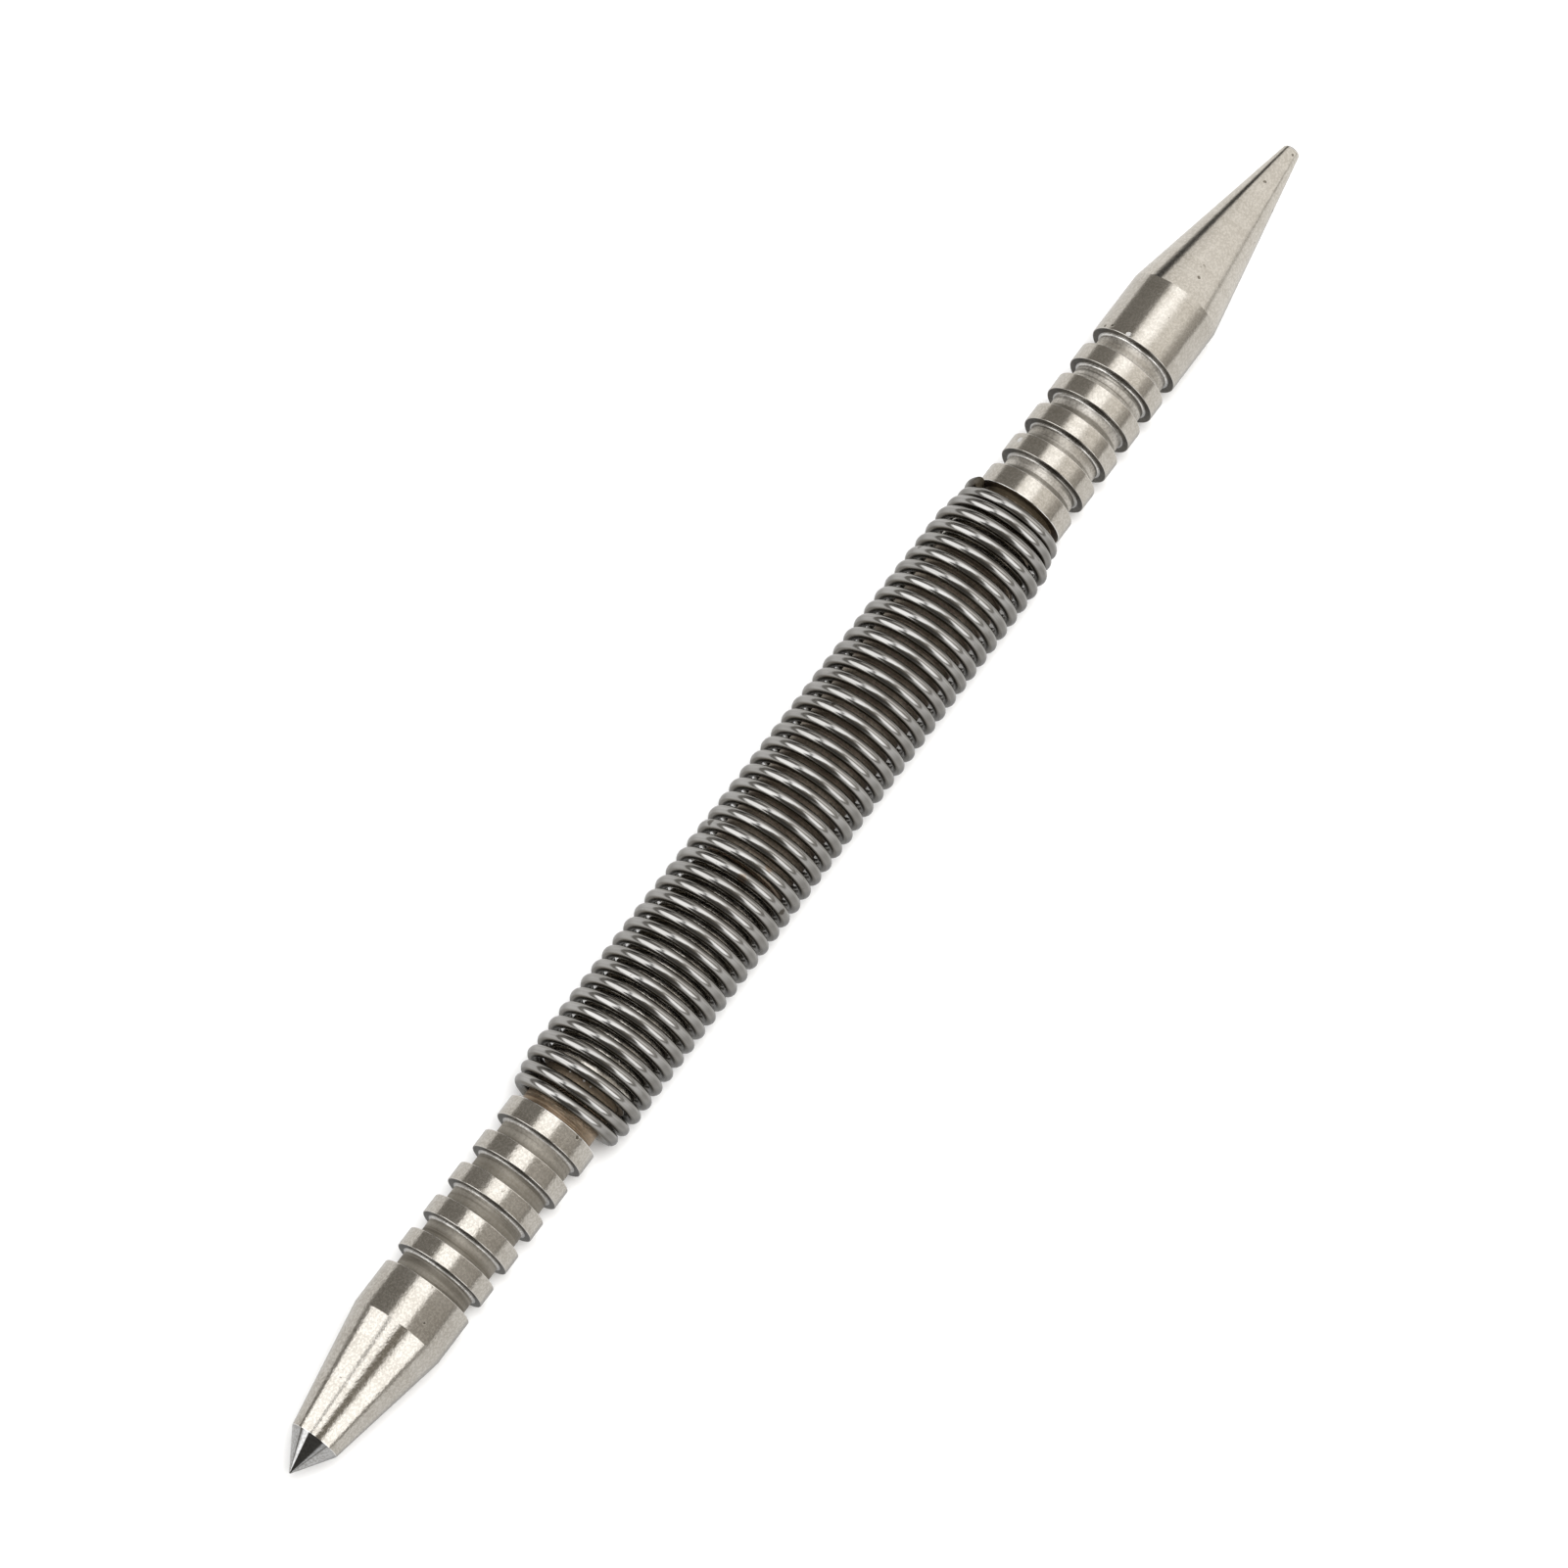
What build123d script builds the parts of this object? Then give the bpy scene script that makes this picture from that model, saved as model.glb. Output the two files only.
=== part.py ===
from build123d import *
from math import atan2, cos, degrees, radians, sin
import os

# Double-ended spring punch: a centre punch and a nail set, two turned steel rods joined
# end to end by one coil spring. Pulling the rods apart and letting go makes their inner
# faces strike each other inside the spring.
#
# Frame: millimetres. The tool lies on the ground plane along X, with the centre punch's
# point towards -X and the nail set's tip towards +X. The origin is on the ground, under
# the middle of the tool's length. The spring's coils touch Z = 0.

# ---- driving dimensions --------------------------------------------------------------
rod_diameter = 9.5
edge_chamfer = 0.15

# centre punch: ground point, long taper, plain collar
point_length = 3.75
point_base_diameter = 5.0
point_nose_radius = 0.12
punch_taper_length = 12.5
punch_collar_length = 4.7

# nail set: plain collar, long taper to a small flat tip
nail_collar_length = 7.05
nail_taper_length = 20.3
nail_tip_diameter = 1.75
nail_tip_rounding = 0.3

# grip rings, the same on both rods
groove_count = 5
groove_width = 1.87
groove_diameter = 7.7
ring_width = 1.96
end_ring_width = 2.2

# coil spring: open working coils, and small close-wound coils trapped on each rod's neck
wire_diameter = 1.2
spring_outer_diameter = 12.27
spring_bay_length = 75.1
close_wound_gap = 0.06
punch_end_turns = 0.75
nail_end_turns = 1.07
change_over_turns = 2.0
working_turns = 38.5
wire_start_angle = 281.4
punch_end_gap = 0.85
nail_end_gap = 0.15

# the stretch of each rod that lies inside the spring
punch_shank_reach = 29.8
land_width = 3.0
shank_end_chamfer = 0.5
land_clearance = 0.33
nail_shank_clearance = 0.63
trap_depth = 0.2
neck_clearance = 0.55
coil_over_land_clearance = 0.12
coil_beside_land_clearance = 0.06

# ---- sizes and places that follow ----------------------------------------------------
rod_radius = rod_diameter / 2
wire_radius = wire_diameter / 2
ring_pitch = ring_width + groove_width
rings_length = groove_count * groove_width + (groove_count - 1) * ring_width + end_ring_width

punch_head_length = point_length + punch_taper_length + punch_collar_length + rings_length
nail_head_length = nail_taper_length + nail_collar_length + rings_length
overall_length = punch_head_length + spring_bay_length + nail_head_length

punch_tip_x = -overall_length / 2
nail_tip_x = overall_length / 2
bay_start_x = punch_tip_x + punch_head_length
bay_end_x = bay_start_x + spring_bay_length
striking_face_x = bay_start_x + punch_shank_reach

spring_inner_diameter = spring_outer_diameter - 2 * wire_diameter
land_diameter = spring_inner_diameter - 2 * land_clearance
nail_shank_diameter = spring_inner_diameter - 2 * nail_shank_clearance
end_coil_inner_diameter = land_diameter - 2 * trap_depth
neck_diameter = end_coil_inner_diameter - 2 * neck_clearance
working_coil_radius = spring_inner_diameter / 2 + wire_radius
end_coil_radius = end_coil_inner_diameter / 2 + wire_radius

# The change-over coils have the mean pitch of the close-wound and the working coils.
end_pitch = wire_diameter + close_wound_gap
spring_start_x = bay_start_x + punch_end_gap + wire_radius
spring_end_x = bay_end_x - nail_end_gap - wire_radius
end_turns = punch_end_turns + nail_end_turns + change_over_turns
open_run = spring_end_x - spring_start_x - end_turns * end_pitch
working_pitch = open_run / (working_turns + change_over_turns)
change_over_pitch = (end_pitch + working_pitch) / 2

# Each neck ends where the growing coils have come clear of the land beside it.
lift_over_land = land_diameter / 2 + coil_over_land_clearance - end_coil_inner_diameter / 2
lift_share = lift_over_land / (working_coil_radius - end_coil_radius)
lift_run = lift_share * change_over_turns * change_over_pitch
seat_run = 2 * wire_radius + lift_run + coil_beside_land_clearance
punch_neck_length = punch_end_gap + punch_end_turns * end_pitch + seat_run
nail_neck_length = nail_end_gap + nail_end_turns * end_pitch + seat_run

axis_height = spring_outer_diameter / 2
tool_axis = Axis((0, 0, axis_height), (1, 0, 0))
tool_plane = Plane(origin=(0, 0, axis_height), x_dir=(1, 0, 0), z_dir=(0, -1, 0))


def groove_starts(first_x):
    """X of each groove's low edge, from the groove at first_x towards +X."""
    return [first_x + i * ring_pitch for i in range(groove_count)]


def cut_groove(start_x):
    """Turn one square groove into the rod, with its low edge at start_x."""
    with BuildSketch(tool_plane) as groove:
        with Locations((start_x, groove_diameter / 2)):
            Rectangle(groove_width, rod_diameter, align=(Align.MIN, Align.MIN))
    revolve(groove.sketch, axis=tool_axis, mode=Mode.SUBTRACT)


def at_rod_surface(edge):
    """True for a circle on the rod's full diameter, where a corner can be broken."""
    return abs(edge.radius - rod_radius) < 1e-6


def break_corners(low_x, high_x):
    """Chamfer the ring corners between low_x and high_x, both rings' ends included."""
    circles = edges().filter_by(GeomType.CIRCLE).filter_by(at_rod_surface)
    chamfer(circles.filter_by_position(Axis.X, low_x, high_x), length=edge_chamfer)


def coil_stretch(start_x, start_angle, turns, pitch, start_radius, end_radius):
    """One stretch of the wire's centre line: a right-handed helix along +X."""
    run = turns * pitch
    slope = atan2(end_radius - start_radius, run)
    turned = radians(start_angle)
    start_plane = Plane(
        origin=(start_x, 0, axis_height),
        x_dir=(0, cos(turned), sin(turned)),
        z_dir=(1, 0, 0),
    )
    helix = Helix(pitch / cos(slope), run, start_radius, cone_angle=degrees(slope))
    return start_plane.location * helix


def wire_path():
    """The wire's centre line: close-wound, change-over, working, and back again."""
    stretches = [
        (punch_end_turns, end_pitch, end_coil_radius, end_coil_radius),
        (change_over_turns, change_over_pitch, end_coil_radius, working_coil_radius),
        (working_turns, working_pitch, working_coil_radius, working_coil_radius),
        (change_over_turns, change_over_pitch, working_coil_radius, end_coil_radius),
        (nail_end_turns, end_pitch, end_coil_radius, end_coil_radius),
    ]
    path = []
    x = spring_start_x
    angle = wire_start_angle
    for turns, pitch, start_radius, end_radius in stretches:
        path.append(coil_stretch(x, angle, turns, pitch, start_radius, end_radius))
        x += turns * pitch
        angle += 360 * turns
    return Wire(path)


# ---- centre punch --------------------------------------------------------------------
# The point's nose is a small ball that meets the ground cone tangentially.
cone_half_angle = atan2(point_base_diameter / 2, point_length)
nose_center_x = punch_tip_x + point_nose_radius
nose_end_x = nose_center_x - point_nose_radius * sin(cone_half_angle)
nose_end_r = point_nose_radius * cos(cone_half_angle)
nose_mid_x = nose_center_x - point_nose_radius * cos(radians(45))
nose_mid_r = point_nose_radius * sin(radians(45))
taper_start_x = punch_tip_x + point_length
collar_start_x = taper_start_x + punch_taper_length
rings_start_x = collar_start_x + punch_collar_length
neck_end_x = bay_start_x + punch_neck_length

with BuildPart() as center_punch:
    with BuildSketch(tool_plane):
        with BuildLine():
            nose = ThreePointArc(
                (punch_tip_x, 0), (nose_mid_x, nose_mid_r), (nose_end_x, nose_end_r)
            )
            outline = Polyline(
                nose @ 1,
                (taper_start_x, point_base_diameter / 2),
                (collar_start_x, rod_radius),
                (bay_start_x, rod_radius),
                (bay_start_x, neck_diameter / 2),
                (neck_end_x, neck_diameter / 2),
                (neck_end_x, land_diameter / 2),
                (striking_face_x, land_diameter / 2),
                (striking_face_x, 0),
            )
            Line(outline @ 1, nose @ 0)
        make_face()
    revolve(axis=tool_axis)
    for start_x in groove_starts(rings_start_x):
        cut_groove(start_x)
    break_corners(collar_start_x + edge_chamfer, bay_start_x)
    face_edge = faces().sort_by(Axis.X)[-1].edges()
    chamfer(face_edge, length=shank_end_chamfer)

# ---- nail set ------------------------------------------------------------------------
land_start_x = bay_end_x - nail_neck_length - land_width
land_end_x = bay_end_x - nail_neck_length
nail_rings_x = bay_end_x + end_ring_width
nail_collar_end_x = nail_tip_x - nail_taper_length

with BuildPart() as nail_set:
    with BuildSketch(tool_plane):
        with BuildLine():
            Polyline(
                (striking_face_x, 0),
                (striking_face_x, nail_shank_diameter / 2),
                (land_start_x, nail_shank_diameter / 2),
                (land_start_x, land_diameter / 2),
                (land_end_x, land_diameter / 2),
                (land_end_x, neck_diameter / 2),
                (bay_end_x, neck_diameter / 2),
                (bay_end_x, rod_radius),
                (nail_collar_end_x, rod_radius),
                (nail_tip_x, nail_tip_diameter / 2),
                (nail_tip_x, 0),
                close=True,
            )
        make_face()
    revolve(axis=tool_axis)
    for start_x in groove_starts(nail_rings_x):
        cut_groove(start_x)
    break_corners(bay_end_x, nail_collar_end_x - edge_chamfer)
    tip_edge = faces().sort_by(Axis.X)[-1].edges()
    fillet(tip_edge, radius=nail_tip_rounding)
    face_edge = faces().sort_by(Axis.X)[0].edges()
    chamfer(face_edge, length=shank_end_chamfer)

# ---- coil spring ---------------------------------------------------------------------
wire_line = wire_path()

with BuildPart() as coil_spring:
    with BuildSketch(Plane(origin=wire_line @ 0, z_dir=wire_line % 0)):
        Circle(wire_radius)
    sweep(path=wire_line, is_frenet=True)

# ---- the finished pieces -------------------------------------------------------------
os.makedirs("parts", exist_ok=True)

center_punch.part.label = "center_punch"
export_step(center_punch.part, "parts/center_punch.step")

nail_set.part.label = "nail_set"
export_step(nail_set.part, "parts/nail_set.step")

coil_spring.part.label = "coil_spring"
export_step(coil_spring.part, "parts/coil_spring.step")
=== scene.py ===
import math

import bpy
import numpy as np
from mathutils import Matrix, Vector


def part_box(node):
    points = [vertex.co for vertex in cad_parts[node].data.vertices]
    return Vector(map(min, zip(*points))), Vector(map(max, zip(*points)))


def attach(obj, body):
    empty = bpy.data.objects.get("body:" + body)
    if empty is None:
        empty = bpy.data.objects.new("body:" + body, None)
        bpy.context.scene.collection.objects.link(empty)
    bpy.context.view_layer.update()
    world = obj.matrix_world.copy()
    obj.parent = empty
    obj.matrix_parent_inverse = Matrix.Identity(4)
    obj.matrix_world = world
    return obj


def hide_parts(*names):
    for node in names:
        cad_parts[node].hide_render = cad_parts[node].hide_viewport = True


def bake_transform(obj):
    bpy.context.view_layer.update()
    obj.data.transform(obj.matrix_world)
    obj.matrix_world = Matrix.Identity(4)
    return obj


# A double-ended spring punch lying on a pale floor: a centre punch and a nail set, two
# turned and plated steel rods, joined by one coil spring.
# Lengths on the tool are in millimetres, and its meshes are scaled to metres when they
# are made. The floor, the camera's distance and the lamp are in metres. Noise scales are
# in cycles per metre, and bump heights on the rods in micrometres.

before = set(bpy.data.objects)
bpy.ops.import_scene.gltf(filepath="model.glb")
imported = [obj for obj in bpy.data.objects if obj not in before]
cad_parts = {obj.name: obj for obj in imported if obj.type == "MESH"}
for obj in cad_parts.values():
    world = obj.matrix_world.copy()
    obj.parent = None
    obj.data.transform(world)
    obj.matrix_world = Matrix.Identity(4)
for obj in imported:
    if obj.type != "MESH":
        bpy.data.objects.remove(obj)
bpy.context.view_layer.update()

MM = 0.001
MICROMETRE = 0.000001

# ---- where the CAD pieces lie ----------------------------------------------------------
punch_low, punch_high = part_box("center_punch")
nail_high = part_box("nail_set")[1]
spring_low, spring_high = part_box("coil_spring")

punch_tip_x = punch_low.x / MM
nail_tip_x = nail_high.x / MM
striking_face_x = punch_high.x / MM
rod_radius = (punch_high.z - punch_low.z) / 2 / MM
spring_radius = (spring_high.z - spring_low.z) / 2 / MM
axis_height = (spring_low.z + spring_high.z) / 2 / MM

# ---- the rods' turned shapes -----------------------------------------------------------
POINT_LENGTH = 3.75
POINT_BASE_RADIUS = 2.5
PUNCH_TAPER_LENGTH = 12.5
PUNCH_COLLAR_LENGTH = 4.7
NAIL_COLLAR_LENGTH = 7.05
NAIL_TAPER_LENGTH = 20.3
NAIL_TIP_RADIUS = 0.875
NAIL_TIP_ROUNDING = 0.3
GROOVE_COUNT = 5
GROOVE_WIDTH = 1.87
GROOVE_RADIUS = 3.85
RING_WIDTH = 1.96
END_RING_WIDTH = 2.2
NECK_RADIUS = 3.855
LAND_RADIUS = 4.605
NAIL_SHANK_RADIUS = 4.305
PUNCH_NECK_LENGTH = 4.83
NAIL_NECK_LENGTH = 4.53
LAND_WIDTH = 3.0
CORNER_ROUND = 0.07
GROOVE_FILLET = 0.13
SHANK_ROUND = 0.1
FACE_ROUND = 0.4
RING_PITCH = RING_WIDTH + GROOVE_WIDTH
RINGS_LENGTH = GROOVE_COUNT * GROOVE_WIDTH + (GROOVE_COUNT - 1) * RING_WIDTH + END_RING_WIDTH
LATHE_STEPS = 192
# how much of the shorter side a corner's arc may use, and how far out its support point is
ARC_ROOM = 0.42
SUPPORT_REACH = 0.05
SUPPORT_SHARE = 0.3
# how near a groove's wall counts as the wall, along the tool and away from floor and ring
WALL_REACH = 0.03
WALL_ABOVE_FLOOR = 0.1
WALL_BELOW_RING = 0.05


def corner(points, at, radius, wear=0.0, dirt=0.0, steps=5):
    """Marks a corner of a turned profile: it gets an arc of this radius."""
    points.append((at[0], at[1], radius, wear, dirt, steps))


def rounded_profile(corners):
    """Turns corners (x, r, radius, wear, dirt, steps) into profile points.

    Each corner becomes a tangent arc with one support point on either side, so that
    the flat or conical face next to it stays flat in the shading."""
    out = []
    count = len(corners)
    for i, (x, r, radius, wear, dirt, steps) in enumerate(corners):
        here = Vector((x, r))
        if i in (0, count - 1) or radius <= 0:
            out.append((x, r, wear, dirt))
            continue
        back = Vector(corners[i - 1][:2]) - here
        ahead = Vector(corners[i + 1][:2]) - here
        room = ARC_ROOM * min(back.length, ahead.length)
        back.normalize()
        ahead.normalize()
        half = back.angle(ahead) / 2
        reach = min(radius / math.tan(half), room)
        round_r = reach * math.tan(half)
        start = here + back * reach
        end = here + ahead * reach
        centre = here + (back + ahead).normalized() * (round_r / math.sin(half))
        support = min(SUPPORT_REACH, SUPPORT_SHARE * room)
        out.append((*(start + back * support), 0.0, dirt * 0.6))
        a0 = start - centre
        turn = math.pi - 2 * half
        side = 1 if a0.x * (end - centre).y - a0.y * (end - centre).x > 0 else -1
        for k in range(steps + 1):
            angle = side * turn * k / steps
            c, s = math.cos(angle), math.sin(angle)
            out.append(
                (
                    centre.x + a0.x * c - a0.y * s,
                    centre.y + a0.x * s + a0.y * c,
                    wear,
                    dirt,
                )
            )
        out.append((*(end + ahead * support), 0.0, dirt * 0.6))
    return out


def groove_corners(points, start_x):
    """The four corners of one square grip groove, from its low edge towards +X."""
    end_x = start_x + GROOVE_WIDTH
    corner(points, (start_x, rod_radius), CORNER_ROUND, wear=0.2)
    corner(points, (start_x, GROOVE_RADIUS), GROOVE_FILLET, dirt=0.8)
    corner(points, (end_x, GROOVE_RADIUS), 1.6 * GROOVE_FILLET, wear=0.7)
    corner(points, (end_x, rod_radius), CORNER_ROUND, wear=0.25)


def in_wall(x, r, first_x):
    """True on the upright walls of the grip grooves that start at first_x."""
    place = (x - first_x) % RING_PITCH
    near = min(place, RING_PITCH - place, abs(place - GROOVE_WIDTH))
    rings = -0.1 < x - first_x < RINGS_LENGTH - END_RING_WIDTH + 0.1
    upright = GROOVE_RADIUS + WALL_ABOVE_FLOOR < r < rod_radius - WALL_BELOW_RING
    return rings and near < WALL_REACH and upright


def lathe(name, corners, materials, zone_of, body, node):
    """Makes a turned piece from a profile's corners, from low X to high X.

    zone_of(x, r) gives the material index of the face at that place."""
    profile = rounded_profile(corners)
    verts = []
    wear = []
    dirt = []
    faces = []
    zones = []
    rings = []
    for x, r, w, d in profile:
        if r < 1e-6:
            rings.append([len(verts)])
            verts.append((x * MM, 0.0, axis_height * MM))
            wear.append(w)
            dirt.append(d)
            continue
        ring = []
        for k in range(LATHE_STEPS):
            angle = 2 * math.pi * k / LATHE_STEPS
            ring.append(len(verts))
            verts.append(
                (
                    x * MM,
                    r * math.cos(angle) * MM,
                    (axis_height + r * math.sin(angle)) * MM,
                )
            )
            wear.append(w)
            dirt.append(d)
        rings.append(ring)
    for i in range(len(rings) - 1):
        low, high = rings[i], rings[i + 1]
        mid_x = (profile[i][0] + profile[i + 1][0]) / 2
        mid_r = (profile[i][1] + profile[i + 1][1]) / 2
        zone = zone_of(mid_x, mid_r)
        for k in range(LATHE_STEPS):
            n = (k + 1) % LATHE_STEPS
            if len(low) == 1:
                faces.append((low[0], high[n], high[k]))
            elif len(high) == 1:
                faces.append((low[k], low[n], high[0]))
            else:
                faces.append((low[k], low[n], high[n], high[k]))
            zones.append(zone)
    mesh = bpy.data.meshes.new(name)
    mesh.from_pydata(verts, [], faces)
    mesh.polygons.foreach_set("material_index", zones)
    mesh.polygons.foreach_set("use_smooth", [True] * len(faces))
    for label, values in (("wear", wear), ("dirt", dirt)):
        attribute = mesh.attributes.new(label, "FLOAT", "POINT")
        attribute.data.foreach_set("value", values)
    for material in materials:
        mesh.materials.append(material)
    mesh.update()
    mesh.validate()
    obj = bpy.data.objects.new(name, mesh)
    bpy.context.scene.collection.objects.link(obj)
    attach(obj, body)
    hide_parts(node)
    return obj


# ---- node helpers ----------------------------------------------------------------------
class Nodes:
    """Builds a node tree with short calls. Inputs that are sockets are linked."""

    def __init__(self, tree):
        self.tree = tree
        tree.nodes.clear()

    def add(self, kind, inputs=None, **settings):
        node = self.tree.nodes.new(kind)
        for key, value in settings.items():
            setattr(node, key, value)
        for key, value in (inputs or {}).items():
            self.set(node.inputs[key], value)
        return node

    def set(self, socket, value):
        if isinstance(value, bpy.types.NodeSocket):
            self.tree.links.new(value, socket)
        else:
            socket.default_value = value

    def math(self, operation, a, b=0.0, c=0.0, clamp=False):
        node = self.tree.nodes.new("ShaderNodeMath")
        node.operation = operation
        node.use_clamp = clamp
        for socket, value in zip(node.inputs, (a, b, c)):
            self.set(socket, value)
        return node.outputs[0]

    def ramp(self, value, low, high, to_low=0.0, to_high=1.0):
        """A smooth step of value from low to high."""
        node = self.tree.nodes.new("ShaderNodeMapRange")
        node.interpolation_type = "SMOOTHSTEP"
        for key, v in zip(
            ("Value", "From Min", "From Max", "To Min", "To Max"),
            (value, low, high, to_low, to_high),
        ):
            self.set(node.inputs[key], v)
        return node.outputs[0]

    def band(self, value, low, high, soft):
        """1 between low and high, falling to 0 over soft on either side."""
        rise = self.ramp(value, low - soft, low + soft)
        fall = self.ramp(value, high - soft, high + soft, 1.0, 0.0)
        return self.math("MULTIPLY", rise, fall)

    def mix(self, factor, a, b):
        node = self.tree.nodes.new("ShaderNodeMix")
        node.data_type = "RGBA"
        self.set(node.inputs["Factor"], factor)
        self.set(node.inputs["A"], a)
        self.set(node.inputs["B"], b)
        return node.outputs["Result"]

    def noise(self, vector, scale, detail=2.0, roughness=0.5):
        """Noise stretched by scale, three numbers per metre."""
        mapping = self.add("ShaderNodeMapping", {"Vector": vector, "Scale": scale})
        node = self.add(
            "ShaderNodeTexNoise",
            {
                "Vector": mapping.outputs[0],
                "Scale": 1.0,
                "Detail": detail,
                "Roughness": roughness,
                "Distortion": 0.0,
            },
        )
        return node.outputs["Fac"]


def grey(value, warm=0.0):
    """A near-neutral colour, warmer as warm grows."""
    return (value * (1 + warm), value, value * (1 - 1.6 * warm), 1.0)


def new_material(name):
    """A new material with its node builder and its shader."""
    material = bpy.data.materials.new(name)
    material.use_nodes = True
    nodes = Nodes(material.node_tree)
    output = nodes.add("ShaderNodeOutputMaterial")
    shader = nodes.add("ShaderNodeBsdfPrincipled")
    nodes.tree.links.new(shader.outputs[0], output.inputs["Surface"])
    return material, nodes, shader


def around(x_mm, degrees_round, radius_mm):
    """A point at this radius from the tool's axis, degrees from the top towards -Y."""
    turned = math.radians(degrees_round)
    return (
        x_mm * MM,
        -radius_mm * math.sin(turned) * MM,
        (axis_height + radius_mm * math.cos(turned)) * MM,
    )


def spots(nodes, where, marks):
    """A mask of small ragged spots. Each mark is (x, degrees, radius, size) in mm."""
    ragged = nodes.noise(where, (5200, 5200, 5200), detail=2)
    total = 0.0
    for x_mm, degrees_round, radius_mm, size_mm in marks:
        near = nodes.add("ShaderNodeVectorMath", operation="DISTANCE")
        nodes.set(near.inputs[0], where)
        nodes.set(near.inputs[1], around(x_mm, degrees_round, radius_mm))
        distance = nodes.math("MULTIPLY_ADD", ragged, 0.9 * size_mm * MM, near.outputs["Value"])
        mask = nodes.ramp(distance, 1.6 * size_mm * MM, 1.2 * size_mm * MM)
        total = nodes.math("MAXIMUM", total, mask)
    return total


# colours of the stains, wear and marks on the rods, and how high or deep they stand
STAIN = grey(0.42, 0.10)
GRIME = grey(0.11, 0.22)
WORN_BRIGHT = grey(0.95, 0.01)
DARK_MARK = grey(0.08, 0.25)
BRIGHT_MARK = grey(0.92, 0.01)
PEBBLE_SHARE = 0.55
SPECK_DEPTH = 8.0
MARK_DEPTH = 25.0


def turned_metal(
    name,
    colour,
    dark_colour,
    roughness,
    line_height,
    line_scale=7000,
    stain=0.0,
    peel_height=0.4,
    line_shade=0.0,
    line_colour=grey(0.14, 0.12),
    grain_colour=grey(0.2, 0.1),
    dark_marks=(),
    bright_marks=(),
):
    """Turned steel: fine rings from the lathe, an orange peel in the plating, faint
    stains, worn bright corners and dirt in the inner corners. Heights are in
    micrometres, and marks are lists for spots."""
    material, nodes, shader = new_material(name)
    where = nodes.add("ShaderNodeTexCoord").outputs["Object"]
    wear = nodes.add("ShaderNodeAttribute", attribute_name="wear").outputs["Fac"]
    dirt = nodes.add("ShaderNodeAttribute", attribute_name="dirt").outputs["Fac"]

    lines = nodes.noise(where, (line_scale, 40, 40), detail=3, roughness=0.65)
    broad_lines = nodes.noise(where, (900, 25, 25), detail=2)
    peel = nodes.noise(where, (2900, 2900, 2900), detail=2)
    pebble = nodes.noise(where, (5600, 5600, 5600), detail=1)
    cloud = nodes.noise(where, (170, 170, 170), detail=4, roughness=0.6)
    speck = nodes.noise(where, (1500, 1500, 1500), detail=3, roughness=0.7)

    stains = nodes.ramp(cloud, 0.62 - stain, 0.86 - stain)
    specks = nodes.math("MULTIPLY", nodes.ramp(speck, 0.66, 0.74), nodes.ramp(cloud, 0.4, 0.7))
    uneven_dirt = nodes.math("MULTIPLY", dirt, nodes.ramp(cloud, 0.25, 0.7, 0.5, 1.0))
    grime = nodes.math("MAXIMUM", uneven_dirt, specks)
    grime = nodes.math("MULTIPLY", grime, 0.75, clamp=True)

    plate = nodes.mix(nodes.ramp(broad_lines, 0.3, 0.75), colour, dark_colour)
    plate = nodes.mix(nodes.math("MULTIPLY", stains, 0.35), plate, STAIN)
    plate = nodes.mix(nodes.math("MULTIPLY", wear, 0.9), plate, WORN_BRIGHT)
    plate = nodes.mix(grime, plate, GRIME)
    grain = nodes.ramp(nodes.noise(where, (4200, 4200, 4200), detail=2), 0.42, 0.62, 0.0, 0.32)
    plate = nodes.mix(grain, plate, grain_colour)
    plate = nodes.mix(nodes.ramp(lines, 0.49, 0.60, 0.0, line_shade), plate, line_colour)
    dark_spots = spots(nodes, where, dark_marks)
    plate = nodes.mix(nodes.math("MULTIPLY", dark_spots, 0.75), plate, DARK_MARK)
    bright_spots = spots(nodes, where, bright_marks)
    plate = nodes.mix(bright_spots, plate, BRIGHT_MARK)
    nodes.set(shader.inputs["Base Color"], plate)
    shader.inputs["Metallic"].default_value = 1.0

    rough = nodes.math("MULTIPLY_ADD", lines, 0.12, roughness - 0.06)
    rough = nodes.math("MULTIPLY_ADD", cloud, 0.10, nodes.math("SUBTRACT", rough, 0.05))
    rough = nodes.math("MULTIPLY_ADD", grime, 0.35, rough)
    rough = nodes.math("SUBTRACT", rough, nodes.math("MULTIPLY", wear, 0.12), clamp=True)
    rough = nodes.math("MULTIPLY_ADD", bright_spots, 0.5, rough)
    nodes.set(shader.inputs["Roughness"], rough)

    height = nodes.math("MULTIPLY", peel, peel_height)
    height = nodes.math("MULTIPLY_ADD", lines, line_height, height)
    height = nodes.math("MULTIPLY_ADD", pebble, PEBBLE_SHARE * peel_height, height)
    height = nodes.math("SUBTRACT", height, nodes.math("MULTIPLY", specks, SPECK_DEPTH))
    height = nodes.math("SUBTRACT", height, nodes.math("MULTIPLY", dark_spots, MARK_DEPTH))
    height = nodes.math("MULTIPLY_ADD", bright_spots, -MARK_DEPTH, height)
    bump = nodes.add("ShaderNodeBump", {"Strength": 1.0, "Distance": MICROMETRE, "Height": height})
    nodes.set(shader.inputs["Normal"], bump.outputs[0])
    return material


# colours of the wire, what is on it, its painted shade, and the height of its drawing lines
WIRE_LIGHT = grey(0.54, 0.015)
WIRE_DARK = grey(0.46, 0.02)
DRAWN_LINE = grey(0.30, 0.04)
# the darker colour of the flank towards the punch and the inside, and of oil patches and dots
DARKER_FLANK_AND_OIL = grey(0.075, 0.24)
# the darker colour of the flank towards the nail set, also the painted shade lower down on the wire
DARK_FLANK_AND_LOW_SHADE = grey(0.13, 0.08)
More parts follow.
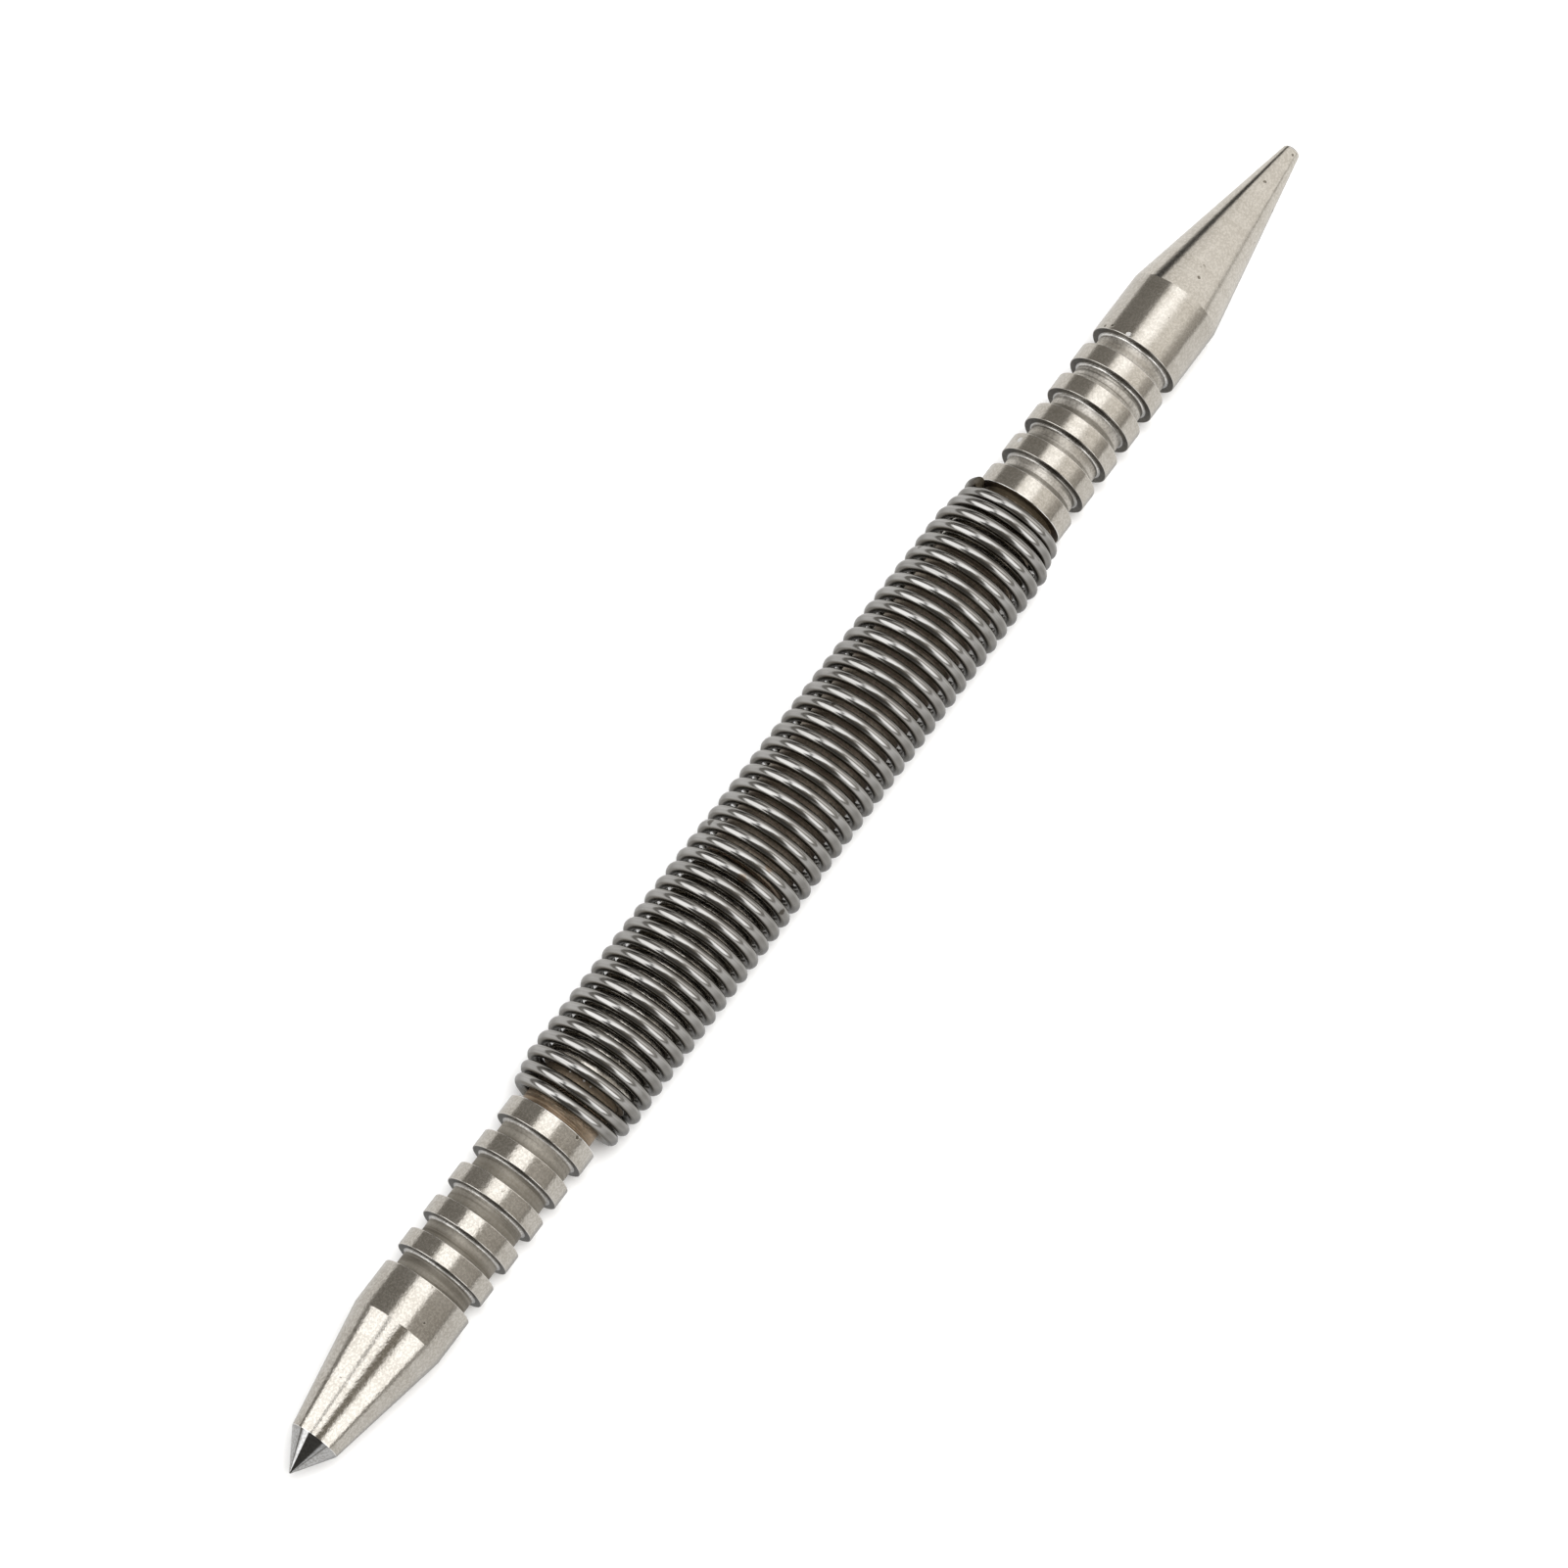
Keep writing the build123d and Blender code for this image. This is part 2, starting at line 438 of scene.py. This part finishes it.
# the colour of dirt spots on the wire, also the painted shade at its far cut end
WIRE_DIRT_AND_SHADE = grey(0.04, 0.25)
RUST = (0.30, 0.19, 0.10, 1.0)
DROPLET = grey(0.95, 0.0)
WIRE_GRAIN = 5 * MICROMETRE
# heights above the axis between which the wire's colour grows darker towards the ground, as painted
# shade
SHADE_TOP = 3.9
SHADE_FULL = 2.3


def spring_steel(name):
    """Drawn, lightly oiled spring wire: fine lines along the wire, a darker brown colour on the
    flank towards the punch and all over the inside, oil patches and dots, a darker flank
    towards the nail set, painted shade lower down, lighter crowns, and a few dirt, rust and
    droplet marks, with painted shade at the far cut end."""
    material, nodes, shader = new_material(name)
    wire = nodes.add("ShaderNodeAttribute", attribute_name="wire_place").outputs["Vector"]
    parts = nodes.add("ShaderNodeSeparateXYZ", {"Vector": wire})
    outward = nodes.math("DIVIDE", parts.outputs["Y"], WIRE_RADIUS * MM)
    toward_nail = nodes.math("DIVIDE", parts.outputs["Z"], WIRE_RADIUS * MM)

    draw = nodes.noise(wire, (70, 5200, 5200), detail=3, roughness=0.6)
    blotch = nodes.noise(wire, (260, 900, 900), detail=4, roughness=0.65)
    slow = nodes.noise(wire, (35, 300, 300), detail=2)
    speck = nodes.noise(wire, (1700, 1700, 1700), detail=2, roughness=0.6)

    # darker colour on the flank towards the punch and all over the inside, then oil patches and dots
    outer_nail_side = nodes.math("ADD", outward, toward_nail)
    punch_side = nodes.ramp(outer_nail_side, 0.20, -0.38)
    inside = nodes.ramp(outward, 0.5, 0.1)
    darker_flank_and_oil = nodes.math("MAXIMUM", punch_side, inside)
    darker_flank_and_oil = nodes.math("MULTIPLY", darker_flank_and_oil, nodes.ramp(blotch, 0.25, 0.6, 0.6, 1.0))
    patches = nodes.math("MULTIPLY", nodes.ramp(blotch, 0.62, 0.8), 0.5)
    darker_flank_and_oil = nodes.math("MAXIMUM", darker_flank_and_oil, patches)
    dots = nodes.ramp(speck, 0.70, 0.76)
    darker_flank_and_oil = nodes.math("MAXIMUM", darker_flank_and_oil, nodes.math("MULTIPLY", dots, 0.7))

    steel = nodes.mix(nodes.ramp(slow, 0.3, 0.7), WIRE_LIGHT, WIRE_DARK)
    steel = nodes.mix(nodes.ramp(draw, 0.35, 0.75, 0.0, 0.35), steel, DRAWN_LINE)
    steel = nodes.mix(nodes.math("MULTIPLY", darker_flank_and_oil, 0.85), steel, DARKER_FLANK_AND_OIL)
    place = nodes.add("ShaderNodeTexCoord").outputs["Object"]
    level = nodes.add("ShaderNodeSeparateXYZ", {"Vector": place}).outputs["Z"]
    # painted shade: the wire grows darker lower down, towards the ground
    shade_top = (axis_height + SHADE_TOP) * MM
    shade_full = (axis_height + SHADE_FULL) * MM
    painted_low_shade = nodes.ramp(level, shade_top, shade_full, 0.0, 0.55)
    # the flank towards the nail set is darker
    nail_side = nodes.ramp(toward_nail, 0.02, 0.42, 0.0, 0.62)
    steel = nodes.mix(nodes.math("MAXIMUM", nail_side, painted_low_shade), steel, DARK_FLANK_AND_LOW_SHADE)
    # dirt spots, and painted shade darkening the wire's far cut end
    dirt = nodes.math("MULTIPLY", spots(nodes, place, SPRING_DIRT_AND_END_SHADE), 0.8)
    steel = nodes.mix(dirt, steel, WIRE_DIRT_AND_SHADE)
    rust = nodes.math("MULTIPLY", spots(nodes, place, SPRING_RUST), 0.5)
    steel = nodes.mix(rust, steel, RUST)
    droplets = spots(nodes, place, SPRING_DROPS)
    steel = nodes.mix(droplets, steel, DROPLET)
    nodes.set(shader.inputs["Base Color"], steel)
    shader.inputs["Metallic"].default_value = 1.0

    rough = nodes.math("MULTIPLY_ADD", draw, 0.10, 0.09)
    rough = nodes.math("MULTIPLY_ADD", darker_flank_and_oil, 0.14, rough, clamp=True)
    rough = nodes.math("MULTIPLY_ADD", droplets, 0.6, rough, clamp=True)
    nodes.set(shader.inputs["Roughness"], rough)
    height = nodes.math("MULTIPLY_ADD", blotch, 0.5, draw)
    bump = nodes.add("ShaderNodeBump", {"Strength": 1.0, "Distance": WIRE_GRAIN, "Height": height})
    nodes.set(shader.inputs["Normal"], bump.outputs[0])
    return material


# ---- the coil spring -------------------------------------------------------------------
WIRE_RADIUS = 0.6
FIRST_TURN = -0.25
LAST_TURN = 44.07
SPRING_START_X = -39.3
TOP_ANGLE = 11.4
STEPS_PER_TURN = 80
WIRE_SIDES = 24
# (turn, pitch)
PITCHES = [(-0.25, 1.26), (0.4, 1.27), (2.6, 1.692), (41.0, 1.684), (42.6, 1.235), (44.07, 1.20)]
# (turn, outer radius as a share of the spring's)
SWELL = [
    (-0.25, 0.895),
    (0.0, 0.902),
    (0.5, 0.930),
    (1.0, 0.946),
    (1.5, 0.976),
    (2.0, 0.998),
    (2.5, 1.0),
    (41.0, 1.0),
    (41.5, 0.991),
    (42.0, 0.968),
    (42.5, 0.906),
    (43.0, 0.925),
    (43.5, 0.872),
    (43.8, 0.900),
    (44.07, 0.930),
]
# (turn, how far the coil leans along the tool)
LEAN = [(-0.25, 0.45), (1.4, 0.5), (2.25, 0.19), (3.2, 0.0)]
# keeps the wire just inside the CAD spring
BOX_MARGIN = 0.004
SWELL_SMOOTHING = 33
# (depth from the cut end, share of the wire's radius): a small break round the edge
END_BREAK = [(0.0, 0.90), (0.05, 0.97), (0.10, 1.0)]
END_CLEAR = 0.2


def spring_line():
    """Turn numbers and the wire's centre points, as arrays, in millimetres."""
    count = int((LAST_TURN - FIRST_TURN) * STEPS_PER_TURN) + 1
    turns = np.linspace(FIRST_TURN, LAST_TURN, count)
    pitch = np.interp(turns, *zip(*PITCHES))
    steps = 0.5 * (pitch[1:] + pitch[:-1]) * np.diff(turns)
    x = SPRING_START_X + np.concatenate([[0.0], np.cumsum(steps)])
    angle = np.radians(TOP_ANGLE) + 2 * np.pi * turns
    x = x - np.interp(turns, *zip(*LEAN)) * np.sin(2 * np.pi * turns)
    radius = np.interp(turns, *zip(*SWELL)) * (spring_radius - BOX_MARGIN)
    kernel = np.hanning(SWELL_SMOOTHING)
    kernel /= kernel.sum()
    padded = np.pad(radius, SWELL_SMOOTHING // 2, mode="edge")
    radius = np.convolve(padded, kernel, mode="valid") - WIRE_RADIUS
    y = radius * np.cos(angle)
    z = axis_height + radius * np.sin(angle)
    return turns, np.stack([x, y, z], axis=1)


def make_spring(name, material):
    """Sweeps the wire along its centre line.

    wire_place holds each point's run along the wire, and its offset outwards and
    towards the nail set, in metres."""
    turns, line = spring_line()
    tangent = np.gradient(line, axis=0)
    tangent /= np.linalg.norm(tangent, axis=1)[:, None]
    on_axis = np.stack([line[:, 0], 0 * line[:, 0], 0 * line[:, 0] + axis_height], axis=1)
    outward = line - on_axis
    outward -= (outward * tangent).sum(1)[:, None] * tangent
    outward /= np.linalg.norm(outward, axis=1)[:, None]
    side = np.cross(tangent, outward)
    side *= np.sign(side[:, 0])[:, None]
    run = np.concatenate([[0.0], np.cumsum(np.linalg.norm(np.diff(line, axis=0), axis=1))])
    grid = np.arange(len(run))
    rows = [(np.interp(depth, run, grid), share) for depth, share in END_BREAK]
    for i in range(len(run)):
        if END_CLEAR < run[i] < run[-1] - END_CLEAR:
            rows.append((float(i), 1.0))
    for depth, share in reversed(END_BREAK):
        rows.append((np.interp(run[-1] - depth, run, grid), share))
    index = np.array([r[0] for r in rows])
    share = np.array([r[1] for r in rows])

    def at(values):
        return np.stack([np.interp(index, grid, values[:, k]) for k in range(3)], axis=1)

    centre, out_dir, side_dir = at(line), at(outward), at(side)
    places = np.interp(index, grid, run)
    phi = 2 * np.pi * np.arange(WIRE_SIDES) / WIRE_SIDES
    ring = WIRE_RADIUS * share[:, None, None] * (
        np.cos(phi)[None, :, None] * out_dir[:, None, :]
        + np.sin(phi)[None, :, None] * side_dir[:, None, :]
    )
    points = (centre[:, None, :] + ring).reshape(-1, 3)
    row_count = len(rows)
    wire_place = np.stack(
        [
            np.repeat(places, WIRE_SIDES),
            (share[:, None] * WIRE_RADIUS * np.cos(phi)[None, :]).ravel(),
            (share[:, None] * WIRE_RADIUS * np.sin(phi)[None, :]).ravel(),
        ],
        axis=1,
    )
    verts = np.concatenate([points, centre[:1], centre[-1:]])
    wire_place = np.concatenate([wire_place, [[places[0], 0, 0]], [[places[-1], 0, 0]]])
    faces = []
    for i in range(row_count - 1):
        a, b = i * WIRE_SIDES, (i + 1) * WIRE_SIDES
        for k in range(WIRE_SIDES):
            n = (k + 1) % WIRE_SIDES
            faces.append((a + k, b + k, b + n, a + n))
    first, last = row_count * WIRE_SIDES, row_count * WIRE_SIDES + 1
    for k in range(WIRE_SIDES):
        n = (k + 1) % WIRE_SIDES
        faces.append((first, k, n))
        base = (row_count - 1) * WIRE_SIDES
        faces.append((last, base + n, base + k))
    mesh = bpy.data.meshes.new(name)
    mesh.from_pydata((verts * MM).tolist(), [], faces)
    cap_faces = 2 * WIRE_SIDES
    smooth = [True] * (len(faces) - cap_faces) + [False] * cap_faces
    mesh.polygons.foreach_set("use_smooth", smooth)
    attribute = mesh.attributes.new("wire_place", "FLOAT_VECTOR", "POINT")
    attribute.data.foreach_set("vector", (wire_place * MM).astype(np.float32).ravel())
    mesh.materials.append(material)
    mesh.update()
    obj = bpy.data.objects.new(name, mesh)
    bpy.context.scene.collection.objects.link(obj)
    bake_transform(obj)
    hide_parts("coil_spring")
    return obj


# ---- materials -------------------------------------------------------------------------
# small marks on the rods: x, degrees from the top towards -Y, radius, size
PUNCH_DIRT = [(-41.0, 42, 4.75, 0.22), (-63.4, 30, 4.7, 0.14), (-66.0, 34, 4.4, 0.12)]
NAIL_PITS = [
    (54.0, -50, 4.75, 0.16),
    (54.2, -38, 4.75, 0.18),
    (52.5, -28, 4.75, 0.20),
    (63.0, 14, 4.33, 0.16),
    (76.0, 2, 1.85, 0.16),
    (80.3, 28, 1.0, 0.14),
    (74.5, 84, 2.13, 0.2),
]
NAIL_RUBS = [(54.0, -12, 4.75, 0.24), (53.6, -14, 4.75, 0.16), (39.5, -48, 4.75, 0.35)]
NECK_OIL = [(34.3, -50 + 14 * i, 3.9, 0.75) for i in range(9)]
NECK_DIRT = [(-37.7, 34 - 17 * i, 3.9, 0.3 + 0.12 * (i % 2)) for i in range(5)]
NECK_DROPS = [(-36.3, -16, 3.9, 0.13), (-36.3, 8, 3.9, 0.16), (-36.4, 20, 3.9, 0.11)]
GROOVE_SCRATCHES = [(35.5 + 0.1 * i, -34 + 5 * i, 3.9, 0.16) for i in range(5)]
# small marks on the spring
SPRING_DIRT_AND_END_SHADE = [
    (-9.0, -52, 5.9, 0.5),
    (-10.2, -44, 5.9, 0.35),
    (-6.8, -57, 5.9, 0.4),
    (6.5, -18, 6.0, 0.22),
    (25.0, -52, 5.9, 0.45),
    (-12.0, 66, 5.9, 0.4),
    # these four darken the wire's far cut end: painted shade
    (33.9, -52, 5.2, 1.3),
    (34.2, -62, 5.2, 1.1),
    (35.4, -90, 5.3, 0.6),
    (35.1, -76, 5.2, 0.6),
]
SPRING_RUST = [(-10.0, 26, 6.0, 0.45), (-36.3, 4, 4.9, 0.5), (-12.5, 12, 6.0, 0.5)]
SPRING_DROPS = [(9.0, 0, 6.0, 0.2), (-36.2, -8, 5.2, 0.14), (-36.2, 12, 5.2, 0.16)]

plated = turned_metal(
    "plated_steel",
    grey(0.58, 0.055),
    grey(0.50, 0.07),
    roughness=0.17,
    line_height=3.0,
    peel_height=12.0,
    grain_colour=grey(0.90, 0.05),
    dark_marks=PUNCH_DIRT,
)
plated_nail = turned_metal(
    "plated_steel_nail",
    grey(0.59, 0.06),
    grey(0.52, 0.07),
    roughness=0.19,
    line_height=3.0,
    peel_height=6.0,
    grain_colour=grey(0.86, 0.05),
    dark_marks=NAIL_PITS,
    bright_marks=NAIL_RUBS,
)
# the groove floors: shaded and lit copies of one finish, painted darker on the centre punch and lighter
# on the nail set
punch_groove_shaded = turned_metal(
    "punch_groove_steel",
    grey(0.50, 0.07),
    grey(0.27, 0.10),
    roughness=0.50,
    line_height=50.0,
    line_scale=1700,
    stain=0.08,
    peel_height=14.0,
    line_shade=0.55,
)
nail_groove_lit = turned_metal(
    "nail_groove_steel",
    grey(0.90, 0.04),
    grey(0.58, 0.07),
    roughness=0.38,
    line_height=62.0,
    line_scale=1700,
    stain=0.06,
    peel_height=14.0,
    line_shade=0.75,
    dark_marks=GROOVE_SCRATCHES,
)
# the upright walls of the grip grooves: near-black, painted shade in the grooves
groove_wall_shade = turned_metal(
    "groove_wall_steel",
    grey(0.06, 0.15),
    grey(0.03, 0.15),
    roughness=0.34,
    line_height=6.0,
    peel_height=9.0,
)
ground_point = turned_metal(
    "ground_point",
    grey(0.60, 0.0),
    grey(0.54, 0.0),
    roughness=0.08,
    line_height=1.0,
    line_scale=9000,
    peel_height=1.0,
)
bright_shank = turned_metal(
    "bright_shank",
    (0.88, 0.75, 0.60, 1.0),
    (0.56, 0.45, 0.35, 1.0),
    roughness=0.44,
    line_height=14.0,
    line_scale=2200,
    stain=0.12,
    peel_height=14.0,
    line_shade=0.6,
    line_colour=(0.20, 0.14, 0.09, 1.0),
)
dark_shank = turned_metal(
    "oiled_shank",
    (0.70, 0.60, 0.49, 1.0),
    (0.40, 0.32, 0.25, 1.0),
    roughness=0.44,
    line_height=14.0,
    line_scale=2200,
    stain=0.1,
    peel_height=14.0,
    line_shade=0.6,
    line_colour=(0.16, 0.11, 0.07, 1.0),
    dark_marks=NECK_OIL,
)
neck_steel = turned_metal(
    "neck_steel",
    (0.86, 0.68, 0.50, 1.0),
    (0.36, 0.25, 0.16, 1.0),
    roughness=0.30,
    line_height=60.0,
    line_scale=1900,
    stain=0.16,
    peel_height=30.0,
    line_shade=0.55,
    line_colour=(0.12, 0.07, 0.04, 1.0),
    dark_marks=NECK_DIRT,
    bright_marks=NECK_DROPS,
)
wire_metal = spring_steel("spring_wire")

# ---- centre punch ----------------------------------------------------------------------
taper_x = punch_tip_x + POINT_LENGTH
collar_x = taper_x + PUNCH_TAPER_LENGTH
rings_x = collar_x + PUNCH_COLLAR_LENGTH
bay_start_x = rings_x + RINGS_LENGTH
neck_end_x = bay_start_x + PUNCH_NECK_LENGTH
PUNCH_ZONES = [ground_point, plated, punch_groove_shaded, bright_shank, groove_wall_shade, neck_steel]


def punch_zone(x, r):
    """The index in PUNCH_ZONES of the face at this place."""
    if x < taper_x - 0.02:
        return 0
    if x > bay_start_x - 0.02 and r < rod_radius - 0.2:
        return 5 if x < neck_end_x else 3
    # the groove walls, which carry painted shade
    if in_wall(x, r, rings_x):
        return 4
    if x > rings_x and r < GROOVE_RADIUS + 0.2:
        return 2
    return 1


punch_corners = []
corner(punch_corners, (punch_tip_x, 0.0), 0)
corner(punch_corners, (punch_tip_x + 0.03, 0.075), 0.06, wear=0.5)
corner(punch_corners, (taper_x, POINT_BASE_RADIUS), 0.05, wear=1.0)
corner(punch_corners, (collar_x, rod_radius), 0.25, steps=3)
for i in range(GROOVE_COUNT):
    groove_corners(punch_corners, rings_x + i * RING_PITCH)
corner(punch_corners, (bay_start_x, rod_radius), CORNER_ROUND, wear=1.0)
corner(punch_corners, (bay_start_x, NECK_RADIUS), GROOVE_FILLET, dirt=1.0)
corner(punch_corners, (neck_end_x, NECK_RADIUS), GROOVE_FILLET, dirt=1.0)
corner(punch_corners, (neck_end_x, LAND_RADIUS), SHANK_ROUND)
corner(punch_corners, (striking_face_x, LAND_RADIUS), FACE_ROUND)
corner(punch_corners, (striking_face_x, 0.0), 0)
punch = lathe("center_punch_turned", punch_corners, PUNCH_ZONES, punch_zone, "punch_end", "center_punch")

# ---- nail set --------------------------------------------------------------------------
nail_collar_end_x = nail_tip_x - NAIL_TAPER_LENGTH
nail_rings_end_x = nail_collar_end_x - NAIL_COLLAR_LENGTH
bay_end_x = nail_rings_end_x - RINGS_LENGTH
land_end_x = bay_end_x - NAIL_NECK_LENGTH
NAIL_ZONES = [plated_nail, nail_groove_lit, dark_shank, groove_wall_shade]


def nail_zone(x, r):
    """The index in NAIL_ZONES of the face at this place."""
    if x < bay_end_x + 0.02 and r < rod_radius - 0.2:
        return 2
    # the groove walls, which carry painted shade
    if in_wall(x, r, bay_end_x + END_RING_WIDTH):
        return 3
    if x < nail_rings_end_x and r < GROOVE_RADIUS + 0.2:
        return 1
    return 0


nail_corners = []
corner(nail_corners, (striking_face_x, 0.0), 0)
corner(nail_corners, (striking_face_x, NAIL_SHANK_RADIUS), FACE_ROUND)
corner(nail_corners, (land_end_x - LAND_WIDTH, NAIL_SHANK_RADIUS), SHANK_ROUND)
corner(nail_corners, (land_end_x - LAND_WIDTH, LAND_RADIUS), SHANK_ROUND)
corner(nail_corners, (land_end_x, LAND_RADIUS), SHANK_ROUND)
corner(nail_corners, (land_end_x, NECK_RADIUS), GROOVE_FILLET, dirt=1.0)
corner(nail_corners, (bay_end_x, NECK_RADIUS), GROOVE_FILLET, dirt=1.0)
corner(nail_corners, (bay_end_x, rod_radius), CORNER_ROUND, wear=1.0)
for i in range(GROOVE_COUNT):
    groove_corners(nail_corners, bay_end_x + END_RING_WIDTH + i * RING_PITCH)
corner(nail_corners, (nail_collar_end_x, rod_radius), 0.15, steps=3)
corner(nail_corners, (nail_tip_x, NAIL_TIP_RADIUS), NAIL_TIP_ROUNDING, wear=0.8, steps=8)
corner(nail_corners, (nail_tip_x, 0.0), 0)
nail = lathe("nail_set_turned", nail_corners, NAIL_ZONES, nail_zone, "nail_end", "nail_set")

# ---- coil spring -----------------------------------------------------------------------
spring = make_spring("coil_spring_wire", wire_metal)

# ---- floor -----------------------------------------------------------------------------
# metres
FLOOR_SIZE = 30.0
FLOOR_ALBEDO = 0.9
floor_mesh = bpy.data.meshes.new("floor")
half = FLOOR_SIZE / 2
floor_mesh.from_pydata(
    [(-half, -half, 0), (half, -half, 0), (half, half, 0), (-half, half, 0)], [], [(0, 1, 2, 3)]
)
floor = bpy.data.objects.new("floor", floor_mesh)
bpy.context.scene.collection.objects.link(floor)
floor_material, _, floor_shader = new_material("pale_floor")
floor_shader.inputs["Base Color"].default_value = grey(FLOOR_ALBEDO)
floor_shader.inputs["Roughness"].default_value = 0.9
floor_shader.inputs["Specular IOR Level"].default_value = 0.0
floor_mesh.materials.append(floor_material)
floor.visible_glossy = False

# ---- studio: soft light all round, as a function of direction ---------------------------
# The panels stand where the photo's reflections need them and are fixed in the scene.
# CAMERA_SIDE is how far the camera leans from overhead towards -Y, in degrees.
CAMERA_SIDE = 11.4
world = bpy.data.worlds.new("studio")
bpy.context.scene.world = world
world.use_nodes = True
w = Nodes(world.node_tree)
world_out = w.add("ShaderNodeOutputWorld")
background = w.add("ShaderNodeBackground")
w.tree.links.new(background.outputs[0], world_out.inputs["Surface"])
ray = w.add("ShaderNodeSeparateXYZ", {"Vector": w.add("ShaderNodeTexCoord").outputs["Generated"]})
# across: degrees round the tool from the camera's side, + towards -Y
# along: degrees of lean towards +X
overhead = w.math("MULTIPLY", w.math("ARCTAN2", ray.outputs["Y"], ray.outputs["Z"]), -180 / math.pi)
across = w.math("SUBTRACT", overhead, CAMERA_SIDE)
along = w.math("MULTIPLY", w.math("ARCSINE", ray.outputs["X"]), 180 / math.pi)


def panel(light, brightness, left, right, low, high, soft=2.0, soft_ends=3.0, warm=0.0):
    """Hangs one panel or dark flag in the studio, over an angle across and along."""
    width = w.band(across, left, right, soft)
    length = w.band(along, low, high, soft_ends)
    return w.mix(w.math("MULTIPLY", width, length), light, grey(brightness, warm))


# beyond the nail set: one even, soft wall
light = grey(0.95, 0.02)
# low down past the nail set the room is darker
light = panel(light, 0.42, -180.0, 180.0, 54.0, 95.0, soft_ends=5.0, warm=0.04)
# square to the tool: a dark flag, an overhead box and a grey wall
light = panel(light, 0.20, -102.0, -36.0, -60.0, 36.0, soft=5.0, warm=0.05)
light = panel(light, 0.37, 8.0, 79.0, -60.0, 27.0, soft=4.0, warm=0.05)
light = panel(light, 1.0, 6.0, 50.0, 17.0, 33.0, soft=12.0, warm=0.03)
light = panel(light, 1.55, -27.0, 6.0, 16.5, 34.0, soft=12.0)
light = panel(light, 1.65, -34.0, 8.0, -60.0, 14.5, soft=6.0)
# towards the centre punch: a big box, narrower side boxes, and a thin dark gap
light = panel(light, 1.65, -86.0, 68.0, -78.0, -2.0)
light = panel(light, 1.10, -97.0, -80.0, -90.0, -42.0)
light = panel(light, 0.60, 46.0, 79.0, -90.0, -38.0, soft_ends=6.0)
light = panel(light, 0.32, -35.0, -28.0, -76.0, 6.0, soft=2.5, soft_ends=5.0)
# the dark lens and its shade, wider further towards the centre punch
lens_reach = w.ramp(along, -5.0, -59.0, 0.0, 1.0)
lens_left = w.math("MULTIPLY_ADD", lens_reach, -54.0, -4.0)
lens_right = w.math("MULTIPLY_ADD", lens_reach, 31.0, 20.0)
lens = w.math(
    "MULTIPLY",
    w.ramp(w.math("SUBTRACT", across, lens_left), -4.0, 4.0),
    w.ramp(w.math("SUBTRACT", across, lens_right), -8.0, 8.0, 1.0, 0.0),
)
lens = w.math("MULTIPLY", lens, w.ramp(along, 1.0, -4.0))
lens_shade = w.mix(lens_reach, grey(0.20, 0.10), grey(0.06, 0.05))
light = w.mix(lens, light, lens_shade)
# a dark band round the horizon
horizon = w.ramp(w.math("ABSOLUTE", ray.outputs["Z"]), 0.16, 0.06)
light = w.mix(w.math("MULTIPLY", horizon, 0.75), light, grey(0.2, 0.05))
# what the metal sees of the floor: bright far off, shaded under the tool
floor_tone = w.mix(w.ramp(along, 14.0, 32.0), grey(0.74, 0.01), grey(0.92, 0.01))
floor_tone = w.mix(w.ramp(ray.outputs["Z"], -0.80, -1.0), floor_tone, grey(0.45))
light = w.mix(w.ramp(ray.outputs["Z"], 0.0, -0.02), light, floor_tone)
# a dark flag that draws the line on the far side of the nail set's taper
light = panel(light, 0.04, -97.0, -75.0, 27.0, 60.0, soft=3.0)
w.set(background.inputs["Color"], light)
background.inputs["Strength"].default_value = 1.0

# ---- camera: at the photo's viewing angle ----------------------------------------------
VIEW_AZIMUTH = math.radians(-54.33)
VIEW_ELEVATION = math.radians(70.93)
# millimetres
SENSOR_WIDTH = 36.0
FOCAL_LENGTH = 148.2588
# the aim point, its distance in metres, and how many millimetres it lies off the middle
AIM = Vector((-1.11 * MM, 0.0, axis_height * MM))
AIM_DEPTH = 0.6083
AIM_RIGHT = 1.6791
AIM_DOWN = 1.2750

back = Vector(
    (
        math.sin(VIEW_AZIMUTH) * math.cos(VIEW_ELEVATION),
        -math.cos(VIEW_AZIMUTH) * math.cos(VIEW_ELEVATION),
        math.sin(VIEW_ELEVATION),
    )
)
turn = (-back).to_track_quat("-Z", "Y")
right = turn @ Vector((1, 0, 0))
up = turn @ Vector((0, 1, 0))
camera_data = bpy.data.cameras.new("camera")
camera_data.sensor_width = SENSOR_WIDTH
camera_data.lens = FOCAL_LENGTH
camera_data.clip_start = 0.05
camera_data.clip_end = 60.0
camera = bpy.data.objects.new("camera", camera_data)
bpy.context.scene.collection.objects.link(camera)
camera.rotation_mode = "QUATERNION"
camera.rotation_quaternion = turn
aside = up * (AIM_DOWN * MM) - right * (AIM_RIGHT * MM)
camera.location = AIM + aside + back * AIM_DEPTH
bpy.context.scene.camera = camera

# ---- floor light: soft, from above, leaning with the camera ------------------------------
# watts, and metres
FILL_POWER = 21.0
FILL_DISTANCE = 1.5
FILL_SIZE = 0.7
fill_light = bpy.data.lights.new("floor_fill", "AREA")
fill_light.shape = "DISK"
fill_light.size = FILL_SIZE
fill_light.energy = FILL_POWER
fill = bpy.data.objects.new("floor_fill", fill_light)
bpy.context.scene.collection.objects.link(fill)
fill_lean = math.radians(CAMERA_SIDE)
fill_from = Vector((0.0, -math.sin(fill_lean), math.cos(fill_lean)))
fill.location = AIM + fill_from * FILL_DISTANCE
fill.rotation_euler = (fill_lean, 0.0, 0.0)
fill.visible_glossy = False

bpy.context.scene.view_settings.view_transform = "Standard"
